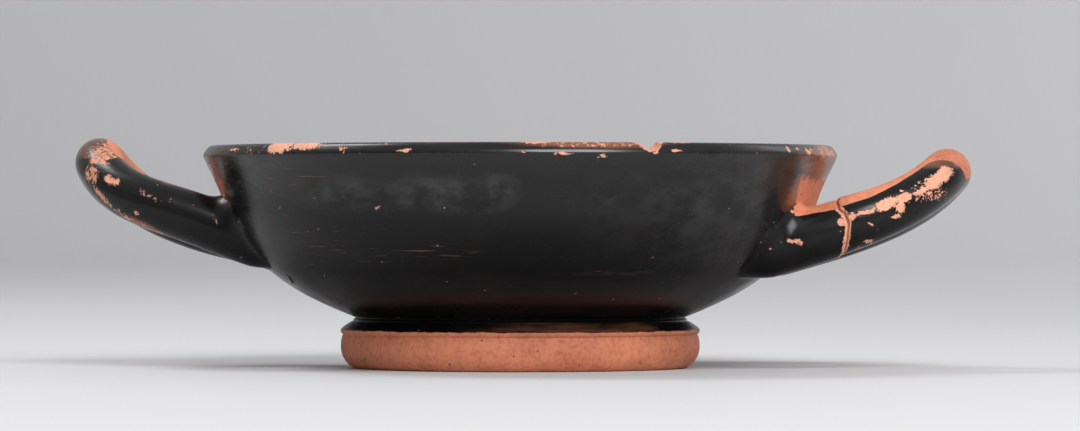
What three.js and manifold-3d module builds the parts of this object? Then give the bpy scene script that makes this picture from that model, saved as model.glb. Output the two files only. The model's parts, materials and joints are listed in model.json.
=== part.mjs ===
// A stemless drinking cup in black-gloss pottery: a shallow bowl with a concave lip,
// a moulded ring foot and two horizontal horseshoe handles that rise towards their tips.
//
// Millimetres, +Z up. The origin is the middle of the plane that the foot rests on.
// +X runs out along the mended handle, and -X along the whole one.

import * as THREE from "three";
import { mergeVertices } from "three/addons/utils/BufferGeometryUtils.js";
import Module from "manifold-3d";

// ---- Driving dimensions -------------------------------------------------------------------

// Bowl: [radius, height] of the points that its outside passes through, and its slope there.
const BOWL_START = { radius: 41.7, height: 12.8, slope: 22 };
const BOWL_TURN = { radius: 60.1, height: 22.1, slope: 35.5 };
const SHOULDER = { radius: 74.9, height: 41.3, slope: 76 };
const LIP_EDGE = { radius: 79.9, height: 52.9, slope: 66 };
const RIM_BULGE = { radius: 80.1, height: 53.8 };
const RIM_CREST = { radius: 77.8, height: 56.1 };
const RIM_INNER = { radius: 75.7, height: 54.6 };
const WALL = 4.0;
const LIP_WALL = 3.6;
const INNER_STEP = 0.7;
const FLOOR_CENTRE_HEIGHT = 13.6;
const FLOOR_EDGE = { radius: 38.0, height: 15.9, slope: 16 };

// Ring foot, in two degrees: a thick rounded lower ring and a thin sloping moulding above it.
const FOOT = {
  restInner: 37.8,
  restOuter: 41.4,
  waist: { radius: 44.5, height: 2.3 },
  widest: { radius: 45.4, height: 5.7 },
  nick: { radius: 44.9, height: 8.5 },
  ridge: { radius: 45.4, height: 9.6 },
  groove: { radius: 42.6, height: 11.8, depth: 0.35 },
  recessRadius: 35.2,
  recessHeight: 7.0,
  recessCentreHeight: 7.6,
};

// Handles. Each is a horseshoe of round section whose middle line rises outwards.
const HANDLE_REACH = 113.8;
const HANDLE_BOW_START = 84.0;
const HANDLE_HALF_SPAN = 21.0;
const HANDLE_ROOT = 64.0;
const HANDLE_BURIED_END = 54.0;
const HANDLE_SPLAY = 1.2;
const ARM_TAPER_START = 74.0;
const ROOT_FILLET = 4.0;
const ROOT_UNDERCUT = 1.2;
const ROOT_ZONE = { from: 60.0, to: 81.0 };
const MENDED_HANDLE = {
  side: 1,
  armRadius: 7.1,
  tipRadius: 6.0,
  rootHeight: 30.1,
  rise: 12.8,
  curl: 6.4,
  power: 5.4,
  lean: 0,
};
const WHOLE_HANDLE = {
  side: -1,
  armRadius: 6.3,
  tipRadius: 6.1,
  rootHeight: 31.2,
  rise: 12.9,
  curl: 7.9,
  power: 7.0,
  lean: 2.1,
};

// The mended break across the near arm of the +X handle, and the chips along the rim.
const BREAK = { reach: 83.2, width: 0.8, depth: 0.7 };
const RIM_CHIPS = [
  { bearing: -60.3, length: 4.2, depth: 1.7, height: 56.3, radius: 78.2 },
  { bearing: -127.7, length: 18.0, depth: 0.4, height: 56.1, radius: 79.5 },
  { bearing: -27.0, length: 5.0, depth: 0.4, height: 55.6, radius: 80.0 },
];

// How finely the solid is faceted.
const TURNS = 64;
const HANDLE_SIDES = 16;
const ROOT_STEPS = 11;
const BOW_STEPS = 11;

const CLAY = new THREE.MeshStandardMaterial({ color: 0x17130f, roughness: 0.28, metalness: 0.0 });

// ---- Small helpers ------------------------------------------------------------------------

const wasm = await Module();
wasm.setup();

/** A closed solid from a closed geometry, with its shared vertices merged. */
function solidOf(geometry) {
  geometry.deleteAttribute("normal");
  geometry.deleteAttribute("uv");
  const merged = mergeVertices(geometry, 1e-4);
  const mesh = new wasm.Mesh({
    numProp: 3,
    vertProperties: new Float32Array(merged.attributes.position.array),
    triVerts: new Uint32Array(merged.index.array),
  });
  return new wasm.Manifold(mesh);
}

/** A three.js geometry from a finished solid. */
function geometryOf(solid) {
  const mesh = solid.getMesh();
  const geometry = new THREE.BufferGeometry();
  geometry.setAttribute("position", new THREE.BufferAttribute(mesh.vertProperties, 3));
  geometry.setIndex(new THREE.BufferAttribute(mesh.triVerts, 1));
  geometry.computeVertexNormals();
  return geometry;
}

/** A profile point as radius and height. */
function at(spot) {
  return new THREE.Vector2(spot.radius, spot.height);
}

/** The unit vector that climbs at a slope in degrees from the horizontal. */
function heading(slope) {
  const angle = THREE.MathUtils.degToRad(slope);
  return new THREE.Vector2(Math.cos(angle), Math.sin(angle));
}

/** A smooth curve that leaves one profile point and reaches another at their own slopes. */
function bend(from, to) {
  const start = at(from);
  const end = at(to);
  const turn = THREE.MathUtils.degToRad(Math.abs(to.slope - from.slope));
  const chord = start.distanceTo(end);
  const reach = chord / (3 * Math.cos(turn / 4) ** 2);
  const leave = start.clone().addScaledVector(heading(from.slope), reach);
  const arrive = end.clone().addScaledVector(heading(to.slope), -reach);
  return new THREE.CubicBezierCurve(start, leave, arrive, end);
}

/** Points along a profile curve, moved inwards from the outside by a wall thickness. */
function insetPoints(curve, inset, steps) {
  const points = [];
  for (let step = 0; step <= steps; step += 1) {
    const along = step / steps;
    const tangent = curve.getTangent(along);
    const inward = new THREE.Vector2(-tangent.y, tangent.x);
    points.push(curve.getPoint(along).addScaledVector(inward, inset));
  }
  return points;
}

/** A solid of revolution about Z from a profile that starts and ends on the axis. */
function turned(profile, turns = TURNS) {
  const geometry = new THREE.LatheGeometry(profile, turns);
  geometry.rotateX(Math.PI / 2);
  return solidOf(geometry);
}

// ---- Bowl and foot ------------------------------------------------------------------------

const lowerWall = bend(BOWL_START, BOWL_TURN);
const upperWall = bend(BOWL_TURN, SHOULDER);
const lipWall = bend(SHOULDER, LIP_EDGE);

/** The underside and the ring foot, from the axis out and up to where the bowl begins. */
function footProfile() {
  const innerFace = new THREE.QuadraticBezierCurve(
    new THREE.Vector2(FOOT.recessRadius, FOOT.recessHeight),
    new THREE.Vector2(FOOT.recessRadius + 1.7, FOOT.recessHeight - 0.3),
    new THREE.Vector2(FOOT.restInner, 0),
  );
  const lowerRound = new THREE.SplineCurve([
    new THREE.Vector2(FOOT.restOuter, 0),
    at(FOOT.waist),
    at(FOOT.widest),
    at(FOOT.nick),
  ]);
  const groove = at(FOOT.groove);
  const across = heading(-38);
  return [
    new THREE.Vector2(0, FOOT.recessCentreHeight),
    ...innerFace.getPoints(2),
    ...lowerRound.getPoints(7),
    at(FOOT.ridge),
    groove.clone().addScaledVector(across, 0.5),
    groove.clone().add(new THREE.Vector2(-FOOT.groove.depth, -FOOT.groove.depth)),
    groove.clone().addScaledVector(across, -0.5),
  ];
}

/** The outside of the bowl and lip, up to the crest of the rim. */
function outsideProfile() {
  return [
    ...insetPoints(lowerWall, 0, 4),
    ...insetPoints(upperWall, 0, 7).slice(1),
    ...insetPoints(lipWall, 0, 4).slice(1),
    at(RIM_BULGE),
    new THREE.Vector2(RIM_BULGE.radius - 0.5, RIM_CREST.height - 0.8),
    at(RIM_CREST),
  ];
}

/** The inside, from the rim down to the middle of the floor, with a small step under the lip. */
function insideProfile() {
  const lip = insetPoints(lipWall, LIP_WALL, 3).reverse();
  const upper = insetPoints(upperWall, WALL, 5).reverse();
  const lower = insetPoints(lowerWall, WALL, 2).reverse();
  const stepTop = lip.at(-1).clone().add(new THREE.Vector2(0, 0.6));
  const floor = bend(
    { radius: 0, height: FLOOR_CENTRE_HEIGHT, slope: 0 },
    FLOOR_EDGE,
  );
  return [
    new THREE.Vector2(RIM_CREST.radius - 1.3, RIM_CREST.height - 0.4),
    at(RIM_INNER),
    ...lip.slice(1, -1),
    stepTop,
    upper[0].clone().add(new THREE.Vector2(-INNER_STEP, -0.6)),
    ...upper.slice(1),
    ...lower.slice(1, -1),
    ...floor.getPoints(3).reverse(),
  ];
}

/** The whole turned body: foot, outside, rim and inside in one closed profile. */
function turnedBody() {
  return turned([...footProfile(), ...outsideProfile(), ...insideProfile()]);
}

/** The space inside the middle of the wall, which trims the handles' buried ends. */
function wallCore() {
  const halfWall = WALL / 2;
  return turned([
    new THREE.Vector2(0, BOWL_START.height - 4),
    ...insetPoints(lowerWall, halfWall, 5),
    ...insetPoints(upperWall, halfWall, 8).slice(1),
    new THREE.Vector2(SHOULDER.radius - halfWall, RIM_CREST.height + 4),
    new THREE.Vector2(0, RIM_CREST.height + 4),
  ]);
}

// ---- Handles ------------------------------------------------------------------------------

const wallOutline = [
  ...insetPoints(lowerWall, 0, 24),
  ...insetPoints(upperWall, 0, 24).slice(1),
  ...insetPoints(lipWall, 0, 12).slice(1),
];

/** The outside radius of the bowl at a height. */
function wallRadius(height) {
  const above = wallOutline.findIndex((point) => point.y > height);
  if (above <= 0) {
    return wallOutline.at(above).x;
  }
  const low = wallOutline[above - 1];
  const high = wallOutline[above];
  return THREE.MathUtils.mapLinear(height, low.y, high.y, low.x, high.x);
}

/** How far out the middle line of a handle reaches at its tip. */
function tipReach(handle) {
  return HANDLE_REACH - handle.tipRadius;
}

/** How high a handle's middle line is at a distance out from the cup and to the side. */
function handleHeight(handle, reach, sideways) {
  const share = Math.max(0, (reach - HANDLE_ROOT) / (tipReach(handle) - HANDLE_ROOT));
  const climb = handle.rise * share + handle.curl * share ** handle.power;
  const lean = (handle.lean * handle.side * sideways) / HANDLE_HALF_SPAN;
  return handle.rootHeight + climb - lean;
}

/** Half the thickness of a handle, which thins from its arms to its tip. */
function handleRadius(handle, reach) {
  const share = THREE.MathUtils.smoothstep(reach, ARM_TAPER_START, tipReach(handle));
  return THREE.MathUtils.lerp(handle.armRadius, handle.tipRadius, share);
}

/** The middle line of a handle: out along one arm, round the bow and back along the other. */
function handleLine(handle) {
  const plan = [];
  const armSteps = 3;
  const bowSteps = 12;
  for (let step = 0; step < armSteps; step += 1) {
    const share = step / armSteps;
    const reach = THREE.MathUtils.lerp(HANDLE_BURIED_END, HANDLE_BOW_START, share);
    plan.push([reach, -HANDLE_HALF_SPAN - HANDLE_SPLAY * (1 - share)]);
  }
  for (let step = 0; step <= bowSteps; step += 1) {
    const turn = (step / bowSteps - 0.5) * Math.PI;
    const reach = HANDLE_BOW_START + (tipReach(handle) - HANDLE_BOW_START) * Math.cos(turn);
    plan.push([reach, HANDLE_HALF_SPAN * Math.sin(turn)]);
  }
  for (let step = armSteps - 1; step >= 0; step -= 1) {
    const [reach, sideways] = plan[step];
    plan.push([reach, -sideways]);
  }
  const line = plan.map(([reach, sideways]) => {
    const height = handleHeight(handle, reach, sideways);
    return new THREE.Vector3(handle.side * reach, handle.side * sideways, height);
  });
  return new THREE.CatmullRomCurve3(line);
}

/** Across and up directions of a handle's section at a point along its middle line. */
function sectionFrame(line, along) {
  const ahead = line.getTangentAt(along);
  const across = new THREE.Vector3(0, 0, 1).cross(ahead).normalize();
  const up = ahead.clone().cross(across);
  return { middle: line.getPointAt(along), across, up };
}

/**
 * How much wider a handle grows where it runs into the wall, at a point on its surface.
 * It grows least underneath, where its surface and the bowl already meet at a wide angle.
 */
function rootGrowth(point, out) {
  const gap = Math.hypot(point.x, point.y) - wallRadius(point.z);
  const depth = THREE.MathUtils.clamp(ROOT_FILLET - gap, 0, ROOT_FILLET);
  const widening = (wallRadius(point.z + 1) - wallRadius(point.z - 1)) / 2;
  const facing = Math.max(0, (-out.z * widening) / Math.hypot(1, widening));
  const share = Math.max(0, 1 - ROOT_UNDERCUT * facing);
  return share * (ROOT_FILLET - Math.sqrt(ROOT_FILLET ** 2 - depth ** 2));
}

/** A round bar bent along a middle line, with a ring of points at each station's share of it. */
function bentBar(line, stations, radiusAt, grows) {
  const steps = stations.length - 1;
  const geometry = new THREE.CylinderGeometry(1, 1, 1, HANDLE_SIDES, steps);
  const position = geometry.attributes.position;
  for (let index = 0; index < position.count; index += 1) {
    const station = Math.round((position.getY(index) + 0.5) * steps);
    const { middle, across, up } = sectionFrame(line, stations[station]);
    const out = new THREE.Vector3()
      .addScaledVector(up, position.getX(index))
      .addScaledVector(across, position.getZ(index));
    const surface = middle.clone().addScaledVector(out, radiusAt(Math.abs(middle.x)));
    const growth = grows ? rootGrowth(surface, out) : 0;
    surface.addScaledVector(out, growth);
    position.setXYZ(index, surface.x, surface.y, surface.z);
  }
  return solidOf(geometry);
}

/** Shares of a handle's length for its rings of points, close together at the two roots. */
function handleStations(line) {
  const length = line.getLength();
  const rootStart = (ROOT_ZONE.from - HANDLE_BURIED_END) / length;
  const rootEnd = (ROOT_ZONE.to - HANDLE_BURIED_END) / length;
  const half = [0];
  for (let step = 0; step < ROOT_STEPS; step += 1) {
    half.push(THREE.MathUtils.lerp(rootStart, rootEnd, step / ROOT_STEPS));
  }
  for (let step = 0; step < BOW_STEPS; step += 1) {
    half.push(THREE.MathUtils.lerp(rootEnd, 0.5, step / BOW_STEPS));
  }
  const back = half.map((share) => 1 - share).reverse();
  return [...half, 0.5, ...back];
}

/** One handle, with flared roots that end inside the thickness of the wall. */
function handleSolid(handle, core) {
  const line = handleLine(handle);
  const radiusAt = (reach) => handleRadius(handle, reach);
  return bentBar(line, handleStations(line), radiusAt, true).subtract(core);
}

// ---- Damage -------------------------------------------------------------------------------

/** A thin ring of space round the near arm of the mended handle, where it broke. */
function breakGroove() {
  const line = handleLine(MENDED_HANDLE);
  const middle = BREAK.reach - HANDLE_BURIED_END;
  const shareAt = (distance) => (middle + distance) / line.getLength();
  const wide = [-0.5, 0.5].map((side) => shareAt(side * BREAK.width));
  const wider = [-2, 2].map((side) => shareAt(side * BREAK.width));
  const armRadius = handleRadius(MENDED_HANDLE, BREAK.reach);
  const outer = bentBar(line, wide, () => armRadius + 1, false);
  const inner = bentBar(line, wider, () => armRadius - BREAK.depth, false);
  return outer.subtract(inner);
}

/** A shallow scallop out of the rim at a bearing in degrees from +X. */
function rimChip(chip) {
  const geometry = new THREE.IcosahedronGeometry(1, 1);
  geometry.scale(chip.depth * 1.6, chip.length / 2, chip.depth);
  geometry.translate(chip.radius, 0, chip.height);
  geometry.rotateZ(THREE.MathUtils.degToRad(chip.bearing));
  return solidOf(geometry);
}

// ---- The cup ------------------------------------------------------------------------------

/** The finished cup as one solid: body and handles joined, then the break and the chips. */
function cupSolid() {
  const core = wallCore();
  const joined = turnedBody()
    .add(handleSolid(MENDED_HANDLE, core))
    .add(handleSolid(WHOLE_HANDLE, core));
  const broken = joined.subtract(breakGroove());
  return RIM_CHIPS.reduce((cup, chip) => cup.subtract(rimChip(chip)), broken);
}

const cup = new THREE.Mesh(geometryOf(cupSolid()), CLAY);
cup.name = "kylix_cup";

const group = new THREE.Group();
group.add(cup);

export default group;
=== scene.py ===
"""A worn black-gloss stemless cup, standing in a plain pale studio.

The cup is one fired piece: a turned bowl with a concave lip and a ring foot, and two
horseshoe handles, one of them broken and mended. Its clay shows where the gloss was never
brushed on and where it has flaked away.

Sizes are in millimetres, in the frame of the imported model: the origin is the middle of the
plane that the foot rests on, +Z is up and +X runs out along the mended handle. Meshes are
made in metres.
"""

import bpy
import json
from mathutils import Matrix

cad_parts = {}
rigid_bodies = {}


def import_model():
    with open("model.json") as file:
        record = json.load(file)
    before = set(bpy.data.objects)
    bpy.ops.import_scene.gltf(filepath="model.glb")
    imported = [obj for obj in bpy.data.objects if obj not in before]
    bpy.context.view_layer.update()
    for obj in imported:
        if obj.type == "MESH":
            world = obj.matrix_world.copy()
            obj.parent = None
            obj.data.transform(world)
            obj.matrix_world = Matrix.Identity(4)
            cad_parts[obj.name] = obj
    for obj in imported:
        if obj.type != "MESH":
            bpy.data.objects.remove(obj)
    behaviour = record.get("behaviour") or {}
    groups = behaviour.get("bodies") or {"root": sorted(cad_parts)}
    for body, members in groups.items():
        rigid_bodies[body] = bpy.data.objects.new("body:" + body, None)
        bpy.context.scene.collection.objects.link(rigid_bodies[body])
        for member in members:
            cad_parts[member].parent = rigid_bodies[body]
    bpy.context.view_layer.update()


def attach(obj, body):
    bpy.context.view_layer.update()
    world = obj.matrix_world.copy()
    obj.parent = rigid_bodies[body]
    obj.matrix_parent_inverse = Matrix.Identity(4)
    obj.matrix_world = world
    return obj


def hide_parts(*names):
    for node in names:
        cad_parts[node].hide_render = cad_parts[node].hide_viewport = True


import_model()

import json
import logging
import math
from dataclasses import dataclass, field
from enum import Enum

import bpy
import numpy as np
from mathutils import Vector

LOG = logging.getLogger("cup")
MM = 0.001
CUP_NODE = "kylix_cup"
FAR_AWAY = 99.0
SKIN = 1.2  # how far under the outside a point still counts as the outer face
RIM_ZONE = (50.0, 76.0)  # above this height and outside this radius lies the rim

Socket = bpy.types.NodeSocket
Points = np.ndarray


# ---- Node trees ---------------------------------------------------------------------------


class Tree:
    """A node tree built by short calls. An input may be a value or another node's output."""

    def __init__(self, tree: bpy.types.NodeTree) -> None:
        """Wraps an empty tree."""
        self.tree = tree

    def add(self, kind: str, inputs: dict | None = None, **settings: object) -> bpy.types.Node:
        """Adds one node.

        Args:
            kind: The node's type.
            inputs: Values or sockets for its inputs, by name or number.
            **settings: Properties of the node itself.

        Returns:
            The new node.
        """
        node = self.tree.nodes.new(kind)
        for name, value in settings.items():
            setattr(node, name, value)
        for key, value in (inputs or {}).items():
            if isinstance(value, Socket):
                self.tree.links.new(value, node.inputs[key])
            else:
                node.inputs[key].default_value = value
        return node

    def math(self, operation: str, first: object, second: object = 0.0, clamp: bool = False) -> Socket:
        """One arithmetic step on numbers, in a shader or geometry tree."""
        node = self.add("ShaderNodeMath", {0: first, 1: second}, operation=operation, use_clamp=clamp)
        return node.outputs[0]

    def vector(self, operation: str, first: object, second: object = (0.0, 0.0, 0.0)) -> bpy.types.Node:
        """One arithmetic step on vectors."""
        return self.add("ShaderNodeVectorMath", {0: first, 1: second}, operation=operation)

    def scaled(self, vector: Socket, factor: object) -> Socket:
        """A vector times a number."""
        node = self.add("ShaderNodeVectorMath", {0: vector, "Scale": factor}, operation="SCALE")
        return node.outputs[0]


class Shader(Tree):
    """The shader tree of one material, with the patterns that the cup's finishes share."""

    def __init__(self, name: str) -> None:
        """Makes the material and its object coordinates in millimetres."""
        self.material = bpy.data.materials.new(name)
        self.material.use_nodes = True
        super().__init__(self.material.node_tree)
        self.surface = self.tree.nodes["Principled BSDF"]
        place = self.add("ShaderNodeTexCoord").outputs["Object"]
        self.place = self.scaled(place, 1.0 / MM)
        self.upward = self.add("ShaderNodeSeparateXYZ", {0: self.place}).outputs[2]

    def noise(self, fineness: float, detail: float = 4.0, rough: float = 0.55,
              stretch: tuple[float, float, float] = (1.0, 1.0, 1.0), shift: float = 0.0) -> Socket:
        """Cloudy noise over the surface.

        Args:
            fineness: Cells per millimetre.
            detail: Octaves of finer noise.
            rough: How strong the finer octaves are.
            stretch: Fineness along each axis, as a multiple.
            shift: Moves the pattern, so that two noises differ.

        Returns:
            A number about 0.5.
        """
        place = self.vector("MULTIPLY", self.place, stretch).outputs[0]
        moved = self.vector("ADD", place, (shift, -shift, shift)).outputs[0]
        node = self.add(
            "ShaderNodeTexNoise",
            {"Vector": moved, "Scale": fineness, "Detail": detail, "Roughness": rough},
        )
        return node.outputs[0]

    def step(self, value: Socket, low: float, high: float) -> Socket:
        """A smooth step from 0 to 1 as a number passes from low to high."""
        node = self.add(
            "ShaderNodeMapRange",
            {0: value, 1: low, 2: high, 3: 0.0, 4: 1.0},
            interpolation_type="SMOOTHSTEP",
        )
        return node.outputs[0]

    def span(self, value: Socket, low: float, high: float, start: float, end: float) -> Socket:
        """Carries the range low..high over to start..end in a straight line."""
        node = self.add("ShaderNodeMapRange", {0: value, 1: low, 2: high, 3: start, 4: end})
        return node.outputs[0]

    def blend(self, share: object, under: object, over: object) -> Socket:
        """A colour that goes from one to another."""
        node = self.add("ShaderNodeMix", {0: share, 6: under, 7: over}, data_type="RGBA")
        return node.outputs[2]

    def lerp(self, share: object, under: object, over: object) -> Socket:
        """A number that goes from one to another."""
        node = self.add("ShaderNodeMix", {0: share, 2: under, 3: over}, data_type="FLOAT")
        return node.outputs[0]

    def speckle(self, fineness: float, size: float, shift: float = 0.0) -> Socket:
        """Sparse round specks.

        Args:
            fineness: Cells per millimetre, each with one speck somewhere in its depth.
            size: The largest speck's radius in mm.
            shift: Moves the pattern.

        Returns:
            1 inside a speck, 0 outside.
        """
        moved = self.vector("ADD", self.place, (shift, shift, -shift)).outputs[0]
        cells = self.add("ShaderNodeTexVoronoi", {"Vector": moved, "Scale": fineness}, feature="F1")
        away = self.math("DIVIDE", cells.outputs["Distance"], fineness)
        edge = self.math("ADD", away, self.math(
            "MULTIPLY", self.math("SUBTRACT", self.noise(2.0, 2.0, shift=shift), 0.5), 0.3))
        return self.math("SUBTRACT", 1.0, self.step(edge, size * 0.8, size))

    def painted(self, name: str) -> Socket:
        """A number stored on the mesh's points."""
        return self.add("ShaderNodeAttribute", attribute_name=name).outputs["Fac"]


# ---- Shapes -------------------------------------------------------------------------------


@dataclass(frozen=True)
class Stop:
    """A point that a profile passes: radius and height in mm, and its slope in degrees."""

    radius: float
    height: float
    slope: float = 0.0

    @property
    def point(self) -> Points:
        """The point as radius and height."""
        return np.array([self.radius, self.height])

    @property
    def heading(self) -> Points:
        """The unit vector along the slope."""
        angle = math.radians(self.slope)
        return np.array([math.cos(angle), math.sin(angle)])


def bend(start: Stop, end: Stop, steps: int) -> Points:
    """A smooth curve between two stops, leaving and arriving at their slopes.

    Args:
        start: Where it begins.
        end: Where it ends.
        steps: Straight steps along it.

    Returns:
        One more point than steps, as rows of radius and height.
    """
    turn = math.radians(abs(end.slope - start.slope))
    reach = np.linalg.norm(end.point - start.point) / (3 * math.cos(turn / 4) ** 2)
    near = start.point + start.heading * reach
    far = end.point - end.heading * reach
    t = np.linspace(0, 1, steps + 1)[:, None]
    u = 1 - t
    return u**3 * start.point + 3 * u * u * t * near + 3 * u * t * t * far + t**3 * end.point


def chain(stops: list[Stop], steps: list[int]) -> Points:
    """Joined bends through several stops."""
    parts = [bend(a, b, n)[:-1] for a, b, n in zip(stops, stops[1:], steps)]
    return np.vstack([*parts, stops[-1].point[None]])


def inset(curve: Points, thickness: float) -> Points:
    """A curve moved to its left by a thickness, which is inwards from the outside of a wall.

    Args:
        curve: Rows of radius and height.
        thickness: How far to move it, in mm.

    Returns:
        The moved curve.
    """
    along = np.gradient(curve, axis=0)
    along /= np.linalg.norm(along, axis=1)[:, None]
    return curve + np.stack([-along[:, 1], along[:, 0]], axis=1) * thickness


def smooth(value: Points, low: float, high: float) -> Points:
    """A smooth step from 0 to 1 as a number passes from low to high."""
    t = np.clip((value - low) / (high - low), 0, 1)
    return t * t * (3 - 2 * t)


def mesh_object(name: str, points: Points, edges: list | None = None) -> bpy.types.Object:
    """A new object of bare points and edges, given in millimetres.

    Args:
        name: The object's name.
        points: Places in mm.
        edges: Pairs of point numbers.

    Returns:
        The new object, in the scene.
    """
    mesh = bpy.data.meshes.new(name)
    mesh.from_pydata([tuple(p) for p in points * MM], edges or [], [])
    thing = bpy.data.objects.new(name, mesh)
    bpy.context.scene.collection.objects.link(thing)
    return thing


def baked(thing: bpy.types.Object) -> bpy.types.Object:
    """Turns an object's modifiers into a plain mesh and removes them.

    Args:
        thing: The object.

    Returns:
        The same object.
    """
    graph = bpy.context.evaluated_depsgraph_get()
    graph.update()
    mesh = bpy.data.meshes.new_from_object(thing.evaluated_get(graph), depsgraph=graph)
    mesh.name = thing.name
    thing.modifiers.clear()
    thing.data = mesh
    return thing


def positions(mesh: bpy.types.Mesh) -> Points:
    """Every point of a mesh, in millimetres.

    Args:
        mesh: The mesh.

    Returns:
        One row for each point.
    """
    flat = np.empty(len(mesh.vertices) * 3, np.float32)
    mesh.vertices.foreach_get("co", flat)
    return flat.reshape(-1, 3).astype(float) / MM


def place_points(mesh: bpy.types.Mesh, points: Points) -> None:
    """Moves every point of a mesh to a place in millimetres."""
    mesh.vertices.foreach_set("co", (points * MM).astype(np.float32).ravel())
    mesh.update()


def paint(mesh: bpy.types.Mesh, name: str, values: Points) -> None:
    """Stores a number on every point of a mesh."""
    layer = mesh.attributes.new(name, "FLOAT", "POINT")
    layer.data.foreach_set("value", values.astype(np.float32))


class Joining(Enum):
    """How one closed mesh is put together with another."""

    UNION = "UNION"
    DIFFERENCE = "DIFFERENCE"


def combine(base: bpy.types.Object, other: bpy.types.Object, how: Joining) -> None:
    """Joins another closed mesh to a base, or cuts it away, and removes the other.

    Args:
        base: The mesh that stays.
        other: The mesh that is used up.
        how: Whether it is joined or cut away.
    """
    modifier = base.modifiers.new(how.name, "BOOLEAN")
    modifier.operation = how.value
    modifier.solver = "MANIFOLD"
    modifier.object = other
    baked(base)
    bpy.data.objects.remove(other)


def run_tree(thing: bpy.types.Object, tree: bpy.types.NodeTree, values: dict[str, object]) -> None:
    """Runs a geometry tree on an object with named inputs, and keeps the plain mesh.

    Args:
        thing: The object that feeds the tree.
        tree: The geometry tree.
        values: The tree's inputs, by name.
    """
    modifier = thing.modifiers.new(tree.name, "NODES")
    modifier.node_group = tree
    for item in tree.interface.items_tree:
        if item.name in values:
            modifier[item.identifier] = values[item.name]
    baked(thing)


class GeometryTree(Tree):
    """A geometry tree with named inputs that takes and gives one mesh."""

    KINDS = {"int": "NodeSocketInt", "float": "NodeSocketFloat", "object": "NodeSocketObject",
             "material": "NodeSocketMaterial"}

    def __init__(self, name: str, inputs: dict[str, str]) -> None:
        """Makes the tree.

        Args:
            name: What it makes.
            inputs: The kind of each named input.
        """
        tree = bpy.data.node_groups.new(name, "GeometryNodeTree")
        tree.interface.new_socket("Geometry", in_out="INPUT", socket_type="NodeSocketGeometry")
        for label, kind in inputs.items():
            tree.interface.new_socket(label, in_out="INPUT", socket_type=self.KINDS[kind])
        tree.interface.new_socket("Geometry", in_out="OUTPUT", socket_type="NodeSocketGeometry")
        super().__init__(tree)
        self.source = self.add("NodeGroupInput").outputs

    def finish(self, geometry: Socket) -> bpy.types.NodeTree:
        """Ends the tree: real geometry, smooth faces and the cup's material.

        Args:
            geometry: What the tree has made.

        Returns:
            The finished tree.
        """
        real = self.add("GeometryNodeRealizeInstances", {0: geometry}).outputs[0]
        soft = self.add("GeometryNodeSetShadeSmooth", {0: real}).outputs[0]
        dressed = self.add("GeometryNodeSetMaterial", {0: soft, "Material": self.source["Finish"]})
        self.add("NodeGroupOutput", {0: dressed.outputs[0]})
        return self.tree


def spinning_tree() -> bpy.types.NodeTree:
    """A tree that spins a profile of points (radius along X, height along Z) about the axis.

    Returns:
        The tree.
    """
    tree = GeometryTree("Spin the profile", {"Turns": "int", "Finish": "material"})
    profile = tree.source["Geometry"]
    rows = tree.add("GeometryNodeAttributeDomainSize", {0: profile}, component="MESH").outputs[0]
    columns = tree.math("ADD", tree.source["Turns"], 1)
    grid = tree.add("GeometryNodeMeshGrid", {2: columns, 3: rows})
    index = tree.add("GeometryNodeInputIndex").outputs[0]
    column = tree.math("FLOOR", tree.math("DIVIDE", index, rows))
    row = tree.math("MODULO", index, rows)
    angle = tree.math("MULTIPLY", tree.math("DIVIDE", column, tree.source["Turns"]), math.tau)
    spot = tree.add(
        "GeometryNodeSampleIndex",
        {0: profile, 1: tree.add("GeometryNodeInputPosition").outputs[0], 2: row},
        data_type="FLOAT_VECTOR", domain="POINT",
    )
    parts = tree.add("ShaderNodeSeparateXYZ", {0: spot.outputs[0]})
    across = tree.math("MULTIPLY", parts.outputs[0], tree.math("COSINE", angle))
    along = tree.math("MULTIPLY", parts.outputs[0], tree.math("SINE", angle))
    place = tree.add("ShaderNodeCombineXYZ", {0: across, 1: along, 2: parts.outputs[2]})
    spun = tree.add("GeometryNodeSetPosition", {0: grid.outputs[0], 2: place.outputs[0]})
    merged = tree.add("GeometryNodeMergeByDistance", {0: spun.outputs[0], "Distance": 1e-6})
    return tree.finish(merged.outputs[0])


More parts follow.
